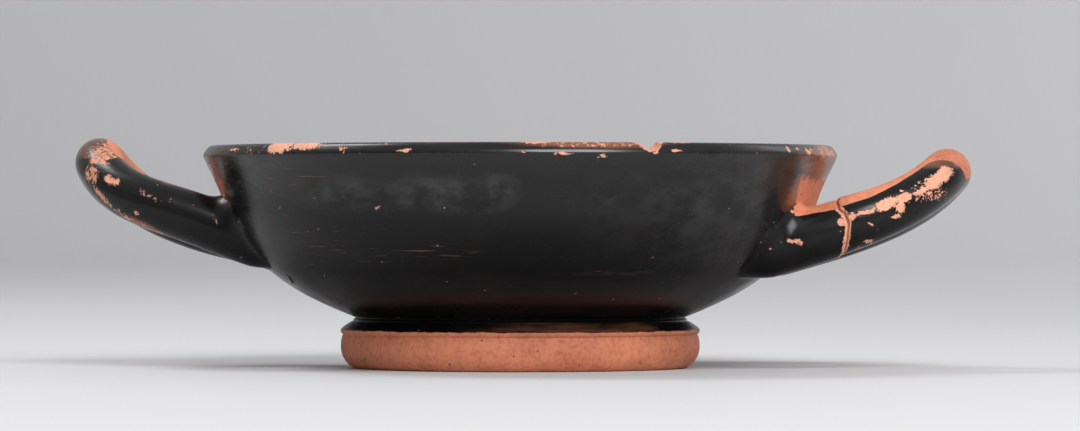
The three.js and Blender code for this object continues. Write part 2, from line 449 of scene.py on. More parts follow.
def handle_tree() -> bpy.types.NodeTree:
    """A tree that runs a round bar along a path and flares it where it meets the wall.

    Returns:
        The tree.
    """
    tree = GeometryTree(
        "Run the handle",
        {"Sides": "int", "Wall": "object", "Fillet": "float", "Undercut": "float",
         "Fade start": "float", "Fade end": "float", "Finish": "material"},
    )
    source = tree.source
    path = tree.add("GeometryNodeMeshToCurve", {0: source["Geometry"]}).outputs[0]
    upright = tree.add("GeometryNodeSetCurveNormal", {0: path}, mode="Z_UP").outputs[0]
    ring = tree.add("GeometryNodeCurvePrimitiveCircle", {0: source["Sides"], 4: 1.0}).outputs[0]
    half = tree.add(
        "GeometryNodeInputNamedAttribute", {0: "half_thickness"}, data_type="FLOAT"
    ).outputs[0]
    bar = tree.add("GeometryNodeCurveToMesh", {0: upright, 1: ring, 2: half, 3: True}).outputs[0]
    wall = tree.add(
        "GeometryNodeObjectInfo", {0: source["Wall"]}, transform_space="ORIGINAL"
    ).outputs["Geometry"]
    here = tree.add("GeometryNodeInputPosition").outputs[0]
    facing = tree.add("GeometryNodeInputNormal").outputs[0]
    nearest = tree.add("GeometryNodeProximity", {0: wall}, target_element="FACES")
    wall_facing = tree.add(
        "GeometryNodeSampleNearestSurface", {0: wall, 1: facing}, data_type="FLOAT_VECTOR"
    ).outputs[0]
    offset = tree.vector("SUBTRACT", here, nearest.outputs[0]).outputs[0]
    outside = tree.vector("DOT_PRODUCT", offset, wall_facing).outputs["Value"]
    gap = tree.math("MULTIPLY", tree.math("SIGN", outside), nearest.outputs[1])
    fillet = source["Fillet"]
    depth = tree.math("MINIMUM", tree.math("MAXIMUM", tree.math("SUBTRACT", fillet, gap), 0.0), fillet)
    drop = tree.math("SQRT", tree.math(
        "SUBTRACT", tree.math("MULTIPLY", fillet, fillet), tree.math("MULTIPLY", depth, depth)))
    buried = tree.add("ShaderNodeMapRange", {0: gap, 1: source["Fade start"], 2: source["Fade end"]})
    growth = tree.math("MULTIPLY", tree.math("SUBTRACT", fillet, drop), buried.outputs[0])
    agree = tree.vector("DOT_PRODUCT", facing, wall_facing).outputs["Value"]
    spared = tree.math("MULTIPLY", tree.math("MAXIMUM", agree, 0.0), source["Undercut"])
    share = tree.math("SUBTRACT", 1.0, spared, clamp=True)
    move = tree.scaled(facing, tree.math("MULTIPLY", growth, share))
    flared = tree.add("GeometryNodeSetPosition", {0: bar, 3: move}).outputs[0]
    return tree.finish(flared)


# ---- The turned body ----------------------------------------------------------------------


@dataclass
class TurnedBody:
    """The bowl, its lip and its ring foot, turned as one.

    The slopes are those of the profile as it climbs the outside from the foot to the rim.
    """

    bowl_start: Stop = Stop(41.7, 12.8, 22.0)
    bowl_turn: Stop = Stop(60.1, 22.1, 35.5)
    shoulder: Stop = Stop(74.9, 41.3, 76.0)
    lip_edge: Stop = Stop(79.85, 52.7, 66.0)
    wall: float = 4.0
    lip_wall: float = 3.6
    inner_step: float = 0.7
    groove: float = 0.16
    groove_width: float = 0.55
    groove_height: float = 40.6
    turns: int = 320

    def lower_wall(self, thickness: float, steps: int) -> Points:
        """The lower bowl, moved inwards by a thickness."""
        return inset(bend(self.bowl_start, self.bowl_turn, steps), thickness)

    def upper_wall(self, thickness: float, steps: int) -> Points:
        """The upper bowl, moved inwards by a thickness."""
        return inset(bend(self.bowl_turn, self.shoulder, steps), thickness)

    def underside(self) -> Points:
        """The floor under the foot, from the axis out, and the inner face of the ring."""
        return chain(
            [Stop(0.0, 7.6, -1.0), Stop(33.4, 7.1, -2.0), Stop(35.4, 5.8, -66.0),
             Stop(37.4, 0.5, -72.0), Stop(38.0, 0.0, -20.0)],
            [12, 6, 6, 3],
        )

    def foot_outside(self) -> Points:
        """The ring foot in two degrees: a thick round ring and a thin sloping moulding.

        Returns:
            Rows of radius and height.
        """
        ring = chain(
            [Stop(38.0, 0.0, 0.0), Stop(41.3, 0.0, 4.0), Stop(44.7, 2.6, 62.0),
             Stop(45.4, 5.7, 90.0), Stop(45.05, 8.1, 104.0), Stop(44.75, 8.5, 120.0)],
            [3, 10, 7, 6, 2],
        )
        moulding = chain(
            [Stop(44.75, 8.5, 20.0), Stop(45.35, 9.1, 68.0), Stop(45.3, 9.9, 128.0),
             Stop(42.95, 11.65, 143.0), Stop(42.4, 11.75, 190.0), Stop(42.25, 12.2, 110.0),
             Stop(41.7, 12.8, 122.0)],
            [3, 4, 6, 2, 3, 3],
        )
        return np.vstack([ring, moulding[1:]])

    def outside(self) -> Points:
        """The bowl and lip outside, up to the rim's edge.

        Returns:
            Rows of radius and height.
        """
        lip = bend(self.shoulder, self.lip_edge, 14)
        line = self.groove_under_lip(np.vstack([self.upper_wall(0, 26)[1:], lip[1:]]))
        return np.vstack([self.lower_wall(0, 20), line])

    def groove_under_lip(self, curve: Points) -> Points:
        """A faint turned line where the bowl passes into the lip."""
        depth = self.groove * np.exp(-(((curve[:, 1] - self.groove_height) / self.groove_width) ** 2))
        return curve - np.stack([depth, np.zeros_like(depth)], axis=1)

    def rim(self) -> Points:
        """The rim: a crisp lower edge, a band that leans in, and a rounded crest."""
        return chain(
            [self.lip_edge, Stop(80.1, 53.65, 100.0), Stop(79.3, 55.15, 124.0),
             Stop(77.8, 56.1, 176.0), Stop(76.3, 55.4, 232.0), Stop(75.6, 53.4, 256.0)],
            [5, 5, 6, 6, 4],
        )[1:]

    def inside(self) -> Points:
        """The inside: the back of the lip, a small step, the bowl and its floor.

        Returns:
            Rows of radius and height, from the lip down to the axis.
        """
        lip = inset(bend(self.shoulder, self.lip_edge, 14), self.lip_wall)[::-1]
        lip = lip[(lip[:, 1] < 52.0) & (lip[:, 1] > 42.8)]
        upper = self.upper_wall(self.wall, 20)[::-1]
        step = chain(
            [Stop(lip[-1][0], 42.6, 258.0), Stop(upper[0][0] - 0.2, 41.75, 240.0),
             Stop(upper[0][0] - self.inner_step, 41.2, 256.0)],
            [3, 3],
        )
        lower = self.lower_wall(self.wall, 14)[::-1]
        floor = bend(Stop(38.0, 15.9, 196.0), Stop(0.0, 13.6, 180.0), 18)
        return np.vstack([lip, step, upper[upper[:, 1] < 40.6], lower[1:-2], floor])

    def profile(self) -> Points:
        """The whole closed profile, from the axis under the foot round to the axis inside."""
        return np.vstack(
            [self.underside()[:-1], self.foot_outside()[:-1], self.outside(), self.rim(),
             self.inside()]
        )

    def core_profile(self) -> Points:
        """A solid bounded by the middle of the wall, which trims what is let into it.

        Returns:
            Rows of radius and height.
        """
        half = self.wall / 2
        top = [[self.shoulder.radius - half, 60.0], [0.0, 60.0]]
        return np.vstack(
            [[[0.0, 9.0]], self.lower_wall(half, 16), self.upper_wall(half, 16)[1:], top]
        )

    def spun(self, name: str, profile: Points, finish: bpy.types.Material,
             tree: bpy.types.NodeTree) -> bpy.types.Object:
        """A closed mesh from a profile of radius and height.

        Args:
            name: The object's name.
            profile: Rows of radius and height.
            finish: The cup's material.
            tree: The spinning tree.

        Returns:
            The closed mesh's object.
        """
        points = np.stack([profile[:, 0], np.zeros(len(profile)), profile[:, 1]], axis=1)
        edges = [(i, i + 1) for i in range(len(points) - 1)]
        thing = mesh_object(name, points, edges)
        run_tree(thing, tree, {"Turns": self.turns, "Finish": finish})
        return thing


# ---- Handles ------------------------------------------------------------------------------


@dataclass
class Handle:
    """A horseshoe handle of round section, whose middle line rises and curls at its tip."""

    name: str
    side: int
    arm_radius: float
    tip_radius: float
    root_height: float
    rise: float
    curl: float
    power: float
    lean: float
    reach: float = 113.8
    bow_start: float = 84.0
    half_span: float = 21.0
    root: float = 64.0
    buried_end: float = 54.0
    splay: float = 1.2
    root_lean: float = 0.35
    lean_grows: tuple[float, float] = (62.0, 86.0)
    taper_start: float = 74.0
    fillet: float = 4.2
    undercut: float = 1.2
    flare_fade: tuple[float, float] = (2.6, 0.8)
    sides: int = 56
    stations: int = 230
    dense_stations: int = 64
    dense: tuple[float, float] = (0.0, 0.0)
    line: Points = field(init=False)
    half_thickness: Points = field(init=False)
    travel: Points = field(init=False)

    def __post_init__(self) -> None:
        """Works out the middle line once, in even steps."""
        rough = self.plan(240)
        steps = np.linalg.norm(np.diff(rough, axis=0), axis=1)
        travel = np.concatenate([[0.0], np.cumsum(steps)])
        even = np.linspace(0.0, travel[-1], self.stations)
        near_arm = rough[:, 1] * self.side < 0
        held = travel[near_arm & (rough[:, 0] > self.dense[0]) & (rough[:, 0] < self.dense[1])]
        if len(held):
            even = np.union1d(even, np.linspace(held[0], held[-1], self.dense_stations))
        self.line = np.stack([np.interp(even, travel, rough[:, k]) for k in range(3)], axis=1)
        self.travel = even
        share = smooth(np.abs(self.line[:, 0]), self.taper_start, self.tip_reach)
        self.half_thickness = self.arm_radius + (self.tip_radius - self.arm_radius) * share

    @property
    def tip_reach(self) -> float:
        """How far out the middle line goes."""
        return self.reach - self.tip_radius

    def plan(self, count: int) -> Points:
        """Points along one arm, round the bow and back along the other.

        Args:
            count: Points round the bow; each arm has a third as many.

        Returns:
            Rows of x, y and height in mm.
        """
        arm = np.linspace(self.buried_end, self.bow_start, count // 3, endpoint=False)
        spread = self.half_span + self.splay * (self.bow_start - arm) / (self.bow_start - self.buried_end)
        turn = np.linspace(-math.pi / 2, math.pi / 2, count)
        bow = self.bow_start + (self.tip_reach - self.bow_start) * np.cos(turn)
        out = np.concatenate([arm, bow, arm[::-1]])
        sideways = np.concatenate([-spread, self.half_span * np.sin(turn), spread[::-1]])
        share = np.clip((out - self.root) / (self.tip_reach - self.root), 0, None)
        climb = self.rise * share + self.curl * share**self.power
        lean = self.lean * self.side * sideways / self.half_span
        lean = lean * (self.root_lean + (1 - self.root_lean) * smooth(out, *self.lean_grows))
        return np.stack([self.side * out, self.side * sideways, self.root_height + climb - lean], axis=1)

    def built(self, wall: bpy.types.Object, finish: bpy.types.Material,
              tree: bpy.types.NodeTree) -> bpy.types.Object:
        """The handle's closed mesh, flared where it meets the wall.

        Args:
            wall: The turned body, which the flare follows.
            finish: The cup's material.
            tree: The handle tree.

        Returns:
            The handle's object.
        """
        edges = [(i, i + 1) for i in range(len(self.line) - 1)]
        thing = mesh_object(self.name, self.line, edges)
        paint(thing.data, "half_thickness", self.half_thickness * MM)
        run_tree(thing, tree, {
            "Sides": self.sides, "Wall": wall, "Fillet": self.fillet * MM,
            "Undercut": self.undercut, "Fade start": -self.flare_fade[0] * MM,
            "Fade end": -self.flare_fade[1] * MM, "Finish": finish,
        })
        return thing

    def locate(self, points: Points) -> "HandlePlaces":
        """Where points lie along and round this handle.

        Args:
            points: Points in mm.

        Returns:
            Their places along the bar and in its section.
        """
        gaps = np.empty(len(points))
        nearest = np.empty(len(points), int)
        batch = 4000
        for start in range(0, len(points), batch):
            part = points[start:start + batch]
            squared = ((part[:, None] - self.line[None]) ** 2).sum(2)
            nearest[start:start + batch] = squared.argmin(1)
            gaps[start:start + batch] = np.sqrt(squared.min(1))
        ahead = np.gradient(self.line, axis=0)[nearest]
        ahead /= np.linalg.norm(ahead, axis=1)[:, None]
        inner = np.cross([0.0, 0.0, 1.0], ahead)
        inner /= np.linalg.norm(inner, axis=1)[:, None]
        above = np.cross(ahead, inner)
        out = points - self.line[nearest]
        inward = (out * inner).sum(1)
        upward = (out * above).sum(1)
        outside_bar = gaps - self.half_thickness[nearest]
        return HandlePlaces(self.travel[nearest], inward, upward, outside_bar)


@dataclass
class HandlePlaces:
    """For many points: how far along a handle they are, and where in its section."""

    travel: Points
    inward: Points
    upward: Points
    outside_bar: Points

    @property
    def on_bar(self) -> Points:
        """Whether each point lies on the bar itself, not on its flare or the wall."""
        return self.outside_bar < SKIN

    @property
    def turn(self) -> Points:
        """Angle round the section in degrees: 0 inside the loop, 90 on top, 180 outside."""
        return np.degrees(np.arctan2(self.upward, self.inward))


# ---- Damage -------------------------------------------------------------------------------


@dataclass(frozen=True)
class RimChip:
    """A piece lost from the rim, at a bearing in degrees from +X."""

    bearing: float
    length: float
    depth: float
    radius: float
    height: float
    seed: int
    through: float = 1.7

    def cutter(self, finish: bpy.types.Material) -> bpy.types.Object:
        """A rough lump of the chip's size, in its place on the rim.

        Args:
            finish: The cup's material.

        Returns:
            The lump's object, to be cut away.
        """
        bpy.ops.mesh.primitive_ico_sphere_add(subdivisions=5, radius=1.0)
        lump = bpy.context.object
        lump.name = f"chip_{self.seed}"
        rng = np.random.default_rng(self.seed)
        shape = positions(lump.data) * MM
        waves = rng.normal(size=(9, 3)) * 3.4
        shifts = rng.uniform(0, math.tau, 9)
        rough = 1 + 0.035 * np.sin(shape @ waves.T + shifts).sum(1)
        sized = shape * rough[:, None] * np.array([self.depth * self.through, self.length / 2, self.depth])
        turn = math.radians(self.bearing)
        out = sized[:, 0] + self.radius
        across = out * math.cos(turn) - sized[:, 1] * math.sin(turn)
        along = out * math.sin(turn) + sized[:, 1] * math.cos(turn)
        place_points(lump.data, np.stack([across, along, sized[:, 2] + self.height], axis=1))
        lump.data.materials.append(finish)
        return lump

    def field(self, points: Points) -> Points:
        """How far into the chip's broken surface each point lies, from 0 to 1.

        Args:
            points: Points in mm.

        Returns:
            1 on the broken surface, 0 away from it.
        """
        turn = math.radians(self.bearing)
        out = points[:, 0] * math.cos(turn) + points[:, 1] * math.sin(turn) - self.radius
        along = points[:, 1] * math.cos(turn) - points[:, 0] * math.sin(turn)
        up = points[:, 2] - self.height
        size = np.sqrt((out / (self.depth * self.through)) ** 2 + (along / (self.length / 2)) ** 2
                       + (up / self.depth) ** 2)
        return np.clip((1.45 - size) * 2.4, 0, 1)


@dataclass(frozen=True)
class Mend:
    """The break across the near arm of a handle, glued back with a line of filler."""

    angles: tuple[float, ...] = (-180, -130, -90, -59, -35, -11, 6, 27, 38, 62, 100, 180)
    reaches: tuple[float, ...] = (82.6, 81.6, 82.0, 83.3, 84.1, 84.5, 84.3, 83.3, 82.3, 81.5, 81.3, 82.6)
    groove: float = 0.36
    half_width: float = 0.32
    lift: float = 0.42
    lift_fade: float = 34.0
    arm_side: float = -9.0
    search: float = 9.0

    def distance(self, points: Points, places: HandlePlaces) -> Points:
        """Millimetres past the break along the arm, and far away off the near arm.

        Args:
            points: Points in mm.
            places: Where they lie on the mended handle.

        Returns:
            One distance for each point.
        """
        outer_angle = np.degrees(np.arctan2(places.upward, -places.inward))
        edge = np.interp(outer_angle, self.angles, self.reaches)
        turn = np.radians(outer_angle)
        wave = 0.10 * np.sin(5 * turn + 0.6) + 0.07 * np.sin(13 * turn + 2.0) + 0.04 * np.sin(29 * turn)
        middle = self.reaches[0]
        near_arm = places.on_bar & (points[:, 1] < self.arm_side) & (
            np.abs(points[:, 0] - middle) < self.search)
        return np.where(near_arm, points[:, 0] - edge - wave, FAR_AWAY)

    def reshape(self, points: Points, places: HandlePlaces) -> Points:
        """Sets the outer piece a little proud and opens a shallow groove along the break.

        Args:
            points: Points in mm.
            places: Where they lie on the mended handle.

        Returns:
            The moved points.
        """
        past = self.distance(points, places)
        on_arm = past < FAR_AWAY
        outer_piece = places.on_bar & (points[:, 0] > self.reaches[0])
        lifted = np.where(on_arm, smooth(past, -0.1, 0.2), outer_piece)
        start = places.travel[on_arm & (past > 0)].min()
        fade = 1 - smooth(places.travel - start, 6.0, 6.0 + self.lift_fade)
        turn = np.radians(places.turn)
        inwards = np.stack([np.zeros(len(points)), -np.cos(turn), -np.sin(turn)], axis=1)
        depth = self.groove * np.exp(-((past / self.half_width) ** 2)) * on_arm
        lift = np.outer(lifted * fade * self.lift, [-0.1, -0.15, 1.0])
        return points + lift + inwards * depth[:, None]


# ---- Wear ---------------------------------------------------------------------------------


@dataclass(frozen=True)
class Patch:
    """A worn place. Its centre is a bearing and a height on the wall, or a reach on a handle."""

    place: float
    height: float
    length: float
    width: float
    strength: float = 1.0
    tilt: float = 0.0

    def on_wall(self, bearing: Points, radius: Points, height: Points) -> Points:
        """How worn each point of the wall is, with the centre at a bearing in degrees."""
        around = (bearing - self.place + 180.0) % 360.0 - 180.0
        return self.fall(np.radians(around) * radius, height - self.height)

    def on_handle(self, points: Points) -> Points:
        """How worn each point is, as seen square from the handle's side."""
        return self.fall(points[:, 0] - self.place, points[:, 2] - self.height)

    def fall(self, along: Points, up: Points) -> Points:
        """From the patch's strength in the middle to nothing past its edge.

        Args:
            along: How far each point lies along from the centre, in mm.
            up: How far it lies above the centre, in mm.

        Returns:
            How worn each point is.
        """
        turn = math.radians(self.tilt)
        long = along * math.cos(turn) + up * math.sin(turn)
        wide = up * math.cos(turn) - along * math.sin(turn)
        out = np.sqrt((long / (self.length / 2)) ** 2 + (wide / (self.width / 2)) ** 2)
        return self.strength * np.clip(1.5 - out, 0.0, 1.0)


RIM_FLAKES = (
    Patch(-131.5, 55.3, 9.6, 3.6, 1.0),
    Patch(-125.0, 55.7, 10.4, 2.6, 1.0),
    Patch(-146.2, 54.75, 6.5, 0.9, 0.8),
    Patch(-156.0, 54.4, 10.0, 2.6, 0.32),
    Patch(-139.5, 54.2, 11.0, 3.4, 0.34),
    Patch(-116.3, 54.7, 4.4, 1.8, 0.66, -36.0),
    Patch(-107.8, 55.7, 1.8, 0.7, 0.8),
    Patch(-104.9, 54.0, 3.0, 0.8, 0.75),
    Patch(-103.4, 54.1, 1.2, 1.2, 1.0),
    Patch(-83.2, 53.7, 0.7, 0.7, 0.9),
    Patch(-79.6, 53.6, 0.6, 0.6, 0.9),
    Patch(-77.0, 53.4, 2.4, 1.1, 0.95),
    Patch(-75.1, 53.2, 1.1, 0.9, 0.95),
    Patch(-76.0, 53.4, 2.6, 0.4, 0.8),
    Patch(-69.3, 52.8, 2.4, 1.7, 0.66),
    Patch(-66.5, 52.3, 1.4, 0.6, 0.7),
    Patch(-81.0, 56.2, 7.5, 1.2, 0.95),
    Patch(-72.0, 55.6, 28.0, 2.0, 0.52),
    Patch(-55.9, 54.1, 2.6, 0.8, 0.95),
    Patch(-59.8, 53.6, 3.0, 1.0, 0.8),
    Patch(-54.0, 56.2, 10.0, 0.7, 0.75),
    Patch(-28.4, 54.7, 2.2, 1.6, 0.95),
    Patch(-25.2, 54.8, 1.6, 1.4, 0.9),
    Patch(-21.0, 54.2, 3.0, 2.4, 0.75),
    Patch(-10.0, 54.4, 30.0, 4.2, 0.56),
    Patch(-6.0, 54.0, 6.0, 3.0, 0.66),
    Patch(48.0, 55.6, 22.0, 2.4, 0.56),
    Patch(84.0, 55.4, 9.0, 2.4, 0.9),
    Patch(131.0, 55.6, 14.0, 2.0, 0.72),
    Patch(170.0, 55.2, 26.0, 2.6, 0.50),
)

WALL_FLAKES = (
    Patch(-40.7, 40.5, 0.5, 1.5, 0.85, 12.0),
    Patch(-39.3, 39.9, 0.8, 0.5, 0.85),
    Patch(-136.0, 40.4, 0.6, 0.5, 0.85),
    Patch(-111.5, 40.3, 1.3, 0.55, 0.85, -12.0),
    Patch(-104.0, 40.3, 0.7, 0.6, 0.9),
    Patch(-98.0, 40.2, 0.7, 0.5, 0.9),
    Patch(-47.0, 51.6, 1.3, 0.5, 0.8, 20.0),
    Patch(104.0, 33.0, 6.0, 2.2, 0.66, 25.0),
    Patch(66.0, 45.0, 3.4, 1.4, 0.75, -10.0),
    Patch(140.0, 38.0, 2.2, 1.0, 0.9),
)

MENDED_HANDLE_FLAKES = (
    Patch(82.5, 37.0, 1.8, 2.2, 1.0),
    Patch(85.3, 37.9, 2.8, 2.1, 1.0, 20.0),
    Patch(88.6, 38.9, 5.8, 1.4, 0.95, 10.0),
    Patch(93.8, 41.0, 6.6, 2.9, 1.1, 25.0),
    Patch(98.0, 42.6, 4.6, 2.6, 1.1, 18.0),
    Patch(97.2, 40.2, 2.2, 3.6, 1.0, -12.0),
    Patch(96.1, 38.0, 3.2, 1.2, 0.95, 8.0),
    Patch(101.8, 44.2, 5.0, 1.5, 1.05, 28.0),
    Patch(105.0, 46.5, 4.4, 3.6, 1.1, 35.0),
    Patch(107.4, 48.5, 4.8, 3.6, 1.1, 45.0),
    Patch(104.5, 43.3, 10.5, 3.2, 0.55, 14.0),
    Patch(101.4, 46.0, 4.2, 2.2, 0.50, 20.0),
    Patch(107.0, 50.3, 0.9, 0.9, 0.95),
    Patch(97.2, 44.4, 1.0, 0.6, 0.9, 30.0),
    Patch(89.9, 35.9, 0.9, 0.8, 0.95),
    Patch(91.3, 35.2, 2.4, 1.8, 0.44),
    Patch(89.4, 31.7, 2.9, 1.1, 0.74, 14.0),
    Patch(86.5, 29.9, 2.0, 1.0, 0.62, 14.0),
    Patch(71.1, 32.1, 4.4, 1.4, 0.95, -3.0),
    Patch(72.6, 31.9, 1.2, 1.9, 0.85, 10.0),
    Patch(67.6, 31.7, 0.9, 0.8, 0.9),
    Patch(65.2, 30.6, 1.6, 0.8, 0.85, 20.0),
    Patch(70.4, 39.5, 1.2, 1.3, 0.95),
    Patch(82.5, 34.4, 0.6, 0.7, 0.9),
)

WHOLE_HANDLE_FLAKES = (
    Patch(-106.2, 52.6, 4.2, 2.4, 0.80, 30.0),
    Patch(-104.6, 52.0, 5.0, 2.2, 0.70),
    Patch(-106.8, 48.9, 5.4, 4.4, 0.74, -50.0),
    Patch(-101.4, 47.3, 4.0, 2.6, 0.80, -35.0),
    Patch(-99.6, 46.9, 2.4, 2.2, 0.78, 35.0),
    Patch(-90.4, 43.1, 8.0, 1.7, 0.58, -31.0),
    Patch(-85.1, 42.5, 1.6, 1.6, 0.66),
    Patch(-93.9, 39.1, 1.3, 1.3, 1.0),
    Patch(-103.6, 43.3, 8.0, 1.8, 0.72, -45.0),
    Patch(-98.0, 38.8, 9.0, 1.5, 0.62, -33.0),
    Patch(-90.6, 35.2, 12.0, 1.3, 0.48, -26.0),
    Patch(-103.6, 55.4, 12.0, 6.0, 0.66, 12.0),
    Patch(-103.0, 52.9, 6.0, 0.7, 0.72, 10.0),
    Patch(-73.3, 37.2, 5.4, 0.9, 0.50, -62.0),
)

RIM_BROWN = (
    Patch(-71.0, 56.0, 36.0, 2.6, 1.0),
    Patch(-150.0, 54.2, 44.0, 4.4, 0.22),
    Patch(-10.0, 53.0, 40.0, 6.0, 0.72),
    Patch(-100.0, 56.3, 26.0, 1.0, 0.5),
    Patch(90.0, 56.0, 120.0, 2.0, 0.5),
)

# Smudges where the gloss is dulled to grey; the broad patch at -42 degrees is a painted sheen instead.
WALL_HAZE_AND_SHEEN = (
    Patch(-99.0, 43.6, 28.0, 7.0, 1.0, -4.0),
    Patch(-88.0, 44.2, 9.0, 7.0, 1.0),
    Patch(-118.0, 43.8, 30.0, 7.0, 0.75),
    Patch(-67.5, 43.0, 7.0, 3.2, 0.9),
    # Painted sheen: a broad grey over the right of the bowl that stands in for the room's reflection there.
    Patch(-42.0, 41.0, 60.0, 26.0, 0.40),
    Patch(-137.0, 51.6, 18.0, 3.6, 0.75),
    Patch(-62.0, 24.5, 16.0, 0.8, 0.7),
    Patch(60.0, 43.0, 30.0, 6.0, 0.7),
    Patch(120.0, 40.0, 26.0, 6.0, 0.7),
)

WALL_SCRATCHES = (
    Patch(-133.0, 48.0, 26.0, 7.0, 1.0),
    Patch(-121.0, 31.5, 34.0, 7.0, 1.0),
    Patch(-101.0, 30.5, 20.0, 4.0, 0.7),
    Patch(-152.0, 50.0, 14.0, 7.0, 0.9),
    Patch(-66.0, 25.0, 22.0, 1.6, 0.6),
    Patch(75.0, 36.0, 50.0, 14.0, 0.8),
)


def strongest(patches: tuple[Patch, ...], bearing: Points, radius: Points, height: Points) -> Points:
    """The strongest of several patches of the wall at each point."""
    worn = [patch.on_wall(bearing, radius, height) for patch in patches]
    return np.max(worn, axis=0)


# ---- Finish -------------------------------------------------------------------------------

Colour = tuple[float, float, float, float]


@dataclass(frozen=True)
class Clay:
    """The fired clay: aged where it was left bare, paler where the gloss has flaked."""

    bare: Colour = (0.69, 0.240, 0.128, 1.0)
    bare_dark: Colour = (0.40, 0.118, 0.058, 1.0)
    fresh: Colour = (0.80, 0.385, 0.25, 1.0)
    fresh_dark: Colour = (0.50, 0.195, 0.115, 1.0)
    pit: Colour = (0.07, 0.03, 0.02, 1.0)
    roughness: float = 0.62
    sheen: float = 0.35

    def colours(self, shader: Shader) -> tuple[Socket, Socket]:
        """The mottled colours of bare and of freshly exposed clay.

        Args:
            shader: The material's tree.

        Returns:
            The bare clay's colour and the fresh clay's.
        """
        broad = shader.step(shader.noise(0.06, 5.0, 0.62), 0.40, 0.66)
        fine = shader.step(shader.noise(0.8, 5.0, 0.68, shift=7.0), 0.42, 0.70)
        cloud = shader.math("MULTIPLY", broad, 0.50)
        share = shader.math("ADD", cloud, shader.math("MULTIPLY", fine, 0.55), clamp=True)
        bare = shader.blend(share, self.bare, self.bare_dark)
        fresh = shader.blend(share, self.fresh, self.fresh_dark)
        pits = shader.speckle(0.30, 0.34, shift=31.0)
        return shader.blend(shader.math("MULTIPLY", pits, 0.85), bare, self.pit), fresh


@dataclass(frozen=True)
class Gloss:
    """The black slip gloss: nearly black, brown where it is thin, dulled in pale smudges, and grey over one
    broad patch as a painted sheen.
    """

    black: Colour = (0.0046, 0.0046, 0.0050, 1.0)
    brown: Colour = (0.012, 0.0085, 0.0072, 1.0)
    wash: Colour = (0.25, 0.092, 0.050, 1.0)
    smudge_and_sheen: Colour = (0.046, 0.046, 0.047, 1.0)
    roughness: float = 0.22
    low_sheen: float = 0.05
    high_sheen: float = 0.48
    sheen_heights: tuple[float, float] = (25.0, 52.0)

    def colour(self, shader: Shader) -> Socket:
        """The gloss's colour, with its thin and its dulled places and a patch of painted sheen.

        Args:
            shader: The material's tree.

        Returns:
            The gloss's colour.
        """
        streaks = shader.noise(0.5, 5.0, 0.62, (0.14, 0.14, 1.0), 3.0)
        cloud = shader.noise(0.045, 4.0, 0.6, shift=12.0)
        brown = shader.math("MULTIPLY", shader.step(cloud, 0.42, 0.72), 0.6)
        base = shader.blend(brown, self.black, self.brown)
        uneven = shader.math("MULTIPLY", shader.math("SUBTRACT", streaks, 0.5), 1.1)
        thin = shader.step(shader.math("ADD", shader.painted("wash"), uneven), 0.18, 0.95)
        washed = shader.blend(shader.math("MULTIPLY", thin, 0.9), base, self.wash)
        # Grey where the gloss is dulled in smudges, and over one broad patch as a painted sheen.
        soft = shader.step(shader.noise(0.20, 5.0, 0.66, (0.6, 0.6, 1.0), 21.0), 0.34, 0.70)
        haze = shader.math("MULTIPLY", shader.painted("haze"), soft)
        return shader.blend(haze, washed, self.smudge_and_sheen)


